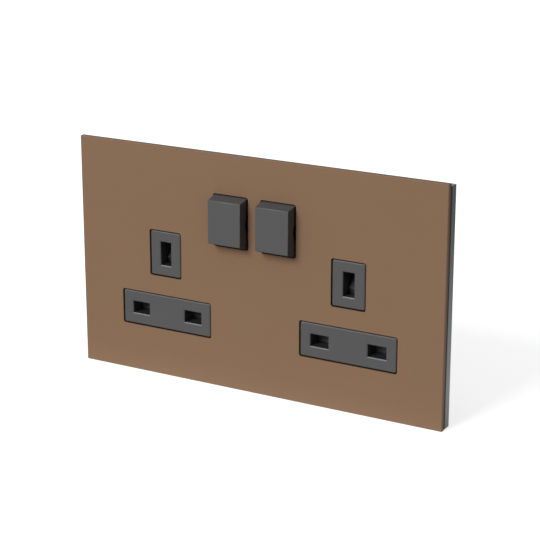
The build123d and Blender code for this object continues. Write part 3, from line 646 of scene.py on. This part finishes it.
def threaded_screws(
    name,
    node,
    metal,
    places,
    way,
    head_mm,
    round_mm,
    head_depth_mm,
    shank_mm,
    pitch_mm,
    slots,
):
    """Round heads with a driver recess and a real thread, as far into the object as the CAD screws reach."""
    low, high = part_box(node)
    length = high.y - low.y
    face_y = low.y if way > 0 else high.y
    head, rounding, head_depth = head_mm / 1000, round_mm / 1000, head_depth_mm / 1000
    crest, pitch = shank_mm / 2000, pitch_mm / 1000
    core = crest - thread_depth_mm / 1000

    # The profile runs from the middle of the head to the point, and None marks the threaded rows.
    profile = [(0.0, (head - rounding) / 2)]
    for step in range(round_steps + 1):
        turn = math.pi / 2 * step / round_steps
        profile.append((rounding * (1 - math.cos(turn)), head - rounding * (1 - math.sin(turn))))
    profile += [(head_depth, head), (head_depth, core)]
    for step in range(1, int((length - head_depth - crest) / pitch * thread_steps)):
        profile.append((head_depth + pitch * step / thread_steps, None))
    profile += [(length - core, core), (length, core * point_share)]

    points, faces = [], []
    for x, z in places:
        start = len(points)
        for depth, radius in profile:
            for side in range(screw_sides):
                turn = side / screw_sides
                ridge = max(0.0, 1 - thread_steepness * abs((depth / pitch - turn) % 1 - 0.5))
                reach = core + (crest - core) * ridge if radius is None else radius
                spin = 2 * math.pi * turn
                across, upward = reach * math.cos(spin), way * reach * math.sin(spin)
                points.append((x + across, face_y + way * depth, z + upward))
        faces.append(tuple(start + side for side in range(screw_sides)))
        faces.append(tuple(len(points) - 1 - side for side in range(screw_sides)))
        for row in range(len(profile) - 1):
            ring = start + row * screw_sides
            next_ring = ring + screw_sides
            for side in range(screw_sides):
                after = (side + 1) % screw_sides
                faces.append((ring + side, next_ring + side, next_ring + after, ring + after))
    mesh = bpy.data.meshes.new(name)
    mesh.from_pydata(points, [], faces)
    mesh.materials.append(metal)
    blank = bpy.data.objects.new(name + "_blank", mesh)
    bpy.context.scene.collection.objects.link(blank)

    # Each bit is a tapered bar that starts 1 mm in front of the heads and cuts one slot in all of them.
    bits = []
    for long_mm, wide_mm, deep_mm in slots:
        corners, sides = [], []
        for x, z in places:
            start = len(corners)
            for depth, share in ((-1.0, 1.0), (deep_mm, recess_taper)):
                for sign_x, sign_z in ((-1, -1), (1, -1), (1, 1), (-1, 1)):
                    across = sign_x * long_mm * share / 2000
                    upward = sign_z * wide_mm * share / 2000
                    corners.append((x + across, face_y + way * depth / 1000, z + way * upward))
            for face in ((0, 1, 2, 3), (7, 6, 5, 4), (0, 4, 5, 1), (1, 5, 6, 2), (2, 6, 7, 3), (3, 7, 4, 0)):
                sides.append([start + corner for corner in face])
        bit_mesh = bpy.data.meshes.new(name + "_bit")
        bit_mesh.from_pydata(corners, [], sides)
        bit = bpy.data.objects.new(name + "_bit", bit_mesh)
        bpy.context.scene.collection.objects.link(bit)
        recess = blank.modifiers.new("driver recess", "BOOLEAN")
        recess.object = bit
        bits.append(bit)
    carved = bpy.data.meshes.new_from_object(blank.evaluated_get(bpy.context.evaluated_depsgraph_get()))
    for spent in (blank, *bits):
        bpy.data.objects.remove(spent)
    carved.shade_smooth()
    carved.set_sharp_from_angle(angle=math.radians(crease_degrees))
    screws = bpy.data.objects.new(name, carved)
    bpy.context.scene.collection.objects.link(screws)
    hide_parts(node)
    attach(screws, "housing")


zinc_head_mm = 2.6
zinc_head = zinc_head_mm / 1000
low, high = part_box("frame_screws")
threaded_screws(
    "frame_fixings",
    "frame_screws",
    zinc_plate,
    places=[(x, low.z + zinc_head) for x in (low.x + zinc_head, high.x - zinc_head)],
    way=1,
    head_mm=zinc_head_mm,
    round_mm=0.2,
    head_depth_mm=1.0,
    shank_mm=2.6,
    pitch_mm=0.9,
    slots=[(3.8, 0.7, 0.6)],
)
lower_screw_mm = 20.5
low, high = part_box("housing_screws")
upper_places = [(x, high.z - zinc_head) for x in (low.x + zinc_head, high.x - zinc_head)]
lower_places = [(x, low.z + zinc_head) for x in (-lower_screw_mm / 1000, lower_screw_mm / 1000)]
threaded_screws(
    "housing_fixings",
    "housing_screws",
    zinc_plate,
    places=upper_places + lower_places,
    way=-1,
    head_mm=zinc_head_mm,
    round_mm=0.9,
    head_depth_mm=1.5,
    shank_mm=2.8,
    pitch_mm=1.2,
    slots=[(2.9, 0.7, 1.0), (0.7, 2.9, 1.0)],
)

# Strips and pin clips: rolled brass sheet, stamped and folded, and laid on the housing's pillars.
# The brass is left bare, with its rolling lines along the strip.
brass_sheet = bare_metal("stamped brass sheet", "#D9B566", roughness=0.33, line_mm=0.5, direction="x")
dress(brass_sheet, "line_busbar", "neutral_busbar", "earth_busbar", "line_contact_left", "line_contact_right")

# Terminals: free-cutting brass, sawn from bar, bored for the wires and tapped for their screws.
# The saw and the drill leave it a little duller than the sheet.
brass_bar = bare_metal("cut brass bar", "#D6B060", roughness=0.36, line_mm=0.4, direction="z")
dress(brass_bar, "line_terminal", "neutral_terminal", "earth_terminal_left", "earth_terminal_right")

# Terminal screws: turned brass with one driver slot, screwed into the terminals from behind.
# Turning leaves them brighter than the terminals, with lines along the screw.
terminal_head_mm = 2.5
terminal_step_mm = 10
turned_brass = bare_metal("turned brass", "#DDBB6E", roughness=0.26, line_mm=0.35, direction="y")
low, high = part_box("terminal_screws")
terminal_count = round(((high.x - low.x) * 1000 - 2 * terminal_head_mm) / terminal_step_mm) + 1
threaded_screws(
    "terminal_fixings",
    "terminal_screws",
    turned_brass,
    places=[
        (low.x + (terminal_head_mm + terminal_step_mm * count) / 1000, (low.z + high.z) / 2)
        for count in range(terminal_count)
    ],
    way=-1,
    head_mm=terminal_head_mm,
    round_mm=0.35,
    head_depth_mm=1.4,
    shank_mm=3.4,
    pitch_mm=0.6,
    slots=[(6.0, 0.8, 0.8)],
)

# Moving contacts: springy copper alloy, stamped, that rocks over a fulcrum of the line strip.
# It is left bare and has a warm, reddish shine.
contact_copper = bare_metal("stamped copper alloy", "#C98A62", roughness=0.34, line_mm=0.5, direction="z")
dress(contact_copper, "moving_contact_left", "moving_contact_right")

# Contact tips: small buttons of silver alloy, riveted to the moving contacts and to the line contacts.
# They are paler than all the brass and copper round them.
silver = bare_metal("silver contact alloy", "#D5D5D3", roughness=0.3, line_mm=0.5, direction="x")
dress(silver, "fixed_tip_left", "fixed_tip_right", "moving_tip_left", "moving_tip_right")

# Rear housing: the black polyamide tray that closes the back of the sockets, held by four screws.
# It is dull all over from the mould, in the plastic of the shutter covers.
dress(housing_plastic, "rear_housing")

# Studio floor: a white floor close under the plate, which runs into a white room.
# The camera sees both as white, and the floor keeps the object's shadow.
floor_level_mm = -43.2
floor_reach = 4.0
floor_colour = "#E4E4E4"
floor_light = "#E8E8E8"
speck_mm = 2.5
floor_glow = 0.65
dim_colour = "#A6A6A6"
bounce_reach = (0.06, 0.3)
bounce_strength = (0.64, 0.01)
behind_reach = (-0.02, 0.03)
behind_share = (0.22, 2.4)
mesh = bpy.data.meshes.new("floor")
corners = [
    (x * floor_reach, y * floor_reach, floor_level_mm / 1000)
    for x, y in ((-1, -1), (1, -1), (1, 1), (-1, 1))
]
mesh.from_pydata(corners, [], [(0, 1, 2, 3)])
floor = bpy.data.objects.new("floor", mesh)
bpy.context.scene.collection.objects.link(floor)
floor_paint, tree, place = start_material("white floor")
speck = add_node(tree, "ShaderNodeTexNoise", {"Scale": 1000 / speck_mm}, {"Vector": (place, "Object")})
pale = add_node(
    tree,
    "ShaderNodeMixRGB",
    {"Color1": linear(floor_colour), "Color2": linear(floor_light)},
    {"Fac": (speck, "Fac")},
)
matt = add_node(tree, "ShaderNodeBsdfDiffuse", {}, {"Color": (pale, "Color")})
glow = add_node(tree, "ShaderNodeEmission", {"Strength": floor_glow})
lifted = add_node(tree, "ShaderNodeAddShader", {}, {0: (matt, 0), 1: (glow, 0)})

# Painted light: a glow that the camera doesn't see stands in for the light that the floor gives back.
# It fades away from the object, and is stronger behind the plate.
away = add_node(tree, "ShaderNodeVectorMath", {"operation": "LENGTH"}, {0: (place, "Object")})
near = add_node(
    tree,
    "ShaderNodeMapRange",
    {
        "From Min": bounce_reach[0],
        "From Max": bounce_reach[1],
        "To Min": bounce_strength[0],
        "To Max": bounce_strength[1],
    },
    {"Value": (away, "Value")},
)
depth = add_node(tree, "ShaderNodeSeparateXYZ", {}, {"Vector": (place, "Object")})
behind = add_node(
    tree,
    "ShaderNodeMapRange",
    {
        "From Min": behind_reach[0],
        "From Max": behind_reach[1],
        "To Min": behind_share[0],
        "To Max": behind_share[1],
    },
    {"Value": (depth, "Y")},
)
bounce_glow_strength = add_node(tree, "ShaderNodeMath", {"operation": "MULTIPLY"}, {0: (near, 0), 1: (behind, 0)})
painted_bounce_glow = add_node(tree, "ShaderNodeEmission", {}, {"Strength": (bounce_glow_strength, 0)})
# For all but the camera, the floor is a dimmer grey, with the painted glow added.
dim = add_node(tree, "ShaderNodeBsdfDiffuse", {"Color": linear(dim_colour)})
lit = add_node(tree, "ShaderNodeAddShader", {}, {0: (dim, 0), 1: (painted_bounce_glow, 0)})
seen = add_node(tree, "ShaderNodeLightPath")
both_floors = add_node(
    tree,
    "ShaderNodeMixShader",
    {},
    {0: (seen, "Is Camera Ray"), 1: (lit, 0), 2: (lifted, 0)},
)
close_material(tree, both_floors)
mesh.materials.append(floor_paint)

# Room: a white room that the camera and the shiny faces see as white.
# As light on the object it is dimmer, so that the lamps give the faces their shading.
room_strength = 0.47
white_strength = 1.0
world = bpy.data.worlds.new("studio")
bpy.context.scene.world = world
world.use_nodes = True
tree = world.node_tree
tree.nodes.clear()
room = add_node(tree, "ShaderNodeBackground", {"Strength": room_strength})
white = add_node(tree, "ShaderNodeBackground", {"Color": linear("#FFFFFF"), "Strength": white_strength})
seen = add_node(tree, "ShaderNodeLightPath")
seen_or_mirrored = add_node(
    tree,
    "ShaderNodeMath",
    {"operation": "MAXIMUM"},
    {0: (seen, "Is Camera Ray"), 1: (seen, "Is Glossy Ray")},
)
any_sight = add_node(
    tree,
    "ShaderNodeMath",
    {"operation": "MAXIMUM"},
    {0: (seen_or_mirrored, 0), 1: (seen, "Is Transmission Ray")},
)
mixed = add_node(tree, "ShaderNodeMixShader", {}, {0: (any_sight, 0), 1: (room, 0), 2: (white, 0)})
add_node(tree, "ShaderNodeOutputWorld", {}, {"Surface": (mixed, 0)})

# Lamps: one large soft key from the upper left in front, which gives the faces their levels.
# A second lamp, high on the left, only shows as the shine on the eased edges of the openings.
key_place = Vector((-0.75, -2.34, 1.68))
key_size = 1.3
key_power = 57.5
shine_place = Vector((-0.72, -0.44, 1.25))
shine_size = 0.7
shine_power = 12.0


def hang_lamp(name, place, size, power):
    """A square lamp that points at the middle of the object."""
    light = bpy.data.lights.new(name, "AREA")
    light.size = size
    light.energy = power
    lamp = bpy.data.objects.new(name, light)
    lamp.location = place
    lamp.rotation_euler = (-place).to_track_quat("-Z", "Y").to_euler()
    bpy.context.scene.collection.objects.link(lamp)
    return lamp


hang_lamp("key", key_place, key_size, key_power)
shine = hang_lamp("shine", shine_place, shine_size, shine_power)
shine.visible_diffuse = False

# Camera: upright, to the right of the object and a little above it, with a long lens.
# It sees 18 degrees across, from the place and along the line that were solved from the photograph.
camera_place = Vector((0.2888, -0.49695, 0.1779))
camera_aim = Vector((-0.4766, 0.8287, -0.2935))
sensor_mm = 36
half_view_degrees = 9.0
camera_data = bpy.data.cameras.new("camera")
camera_data.sensor_width = sensor_mm
camera_data.lens = sensor_mm / 2 / math.tan(math.radians(half_view_degrees))
camera = bpy.data.objects.new("camera", camera_data)
camera.location = camera_place
camera.rotation_euler = camera_aim.to_track_quat("-Z", "Y").to_euler()
bpy.context.scene.collection.objects.link(camera)
bpy.context.scene.camera = camera
bpy.context.scene.view_settings.view_transform = "Standard"
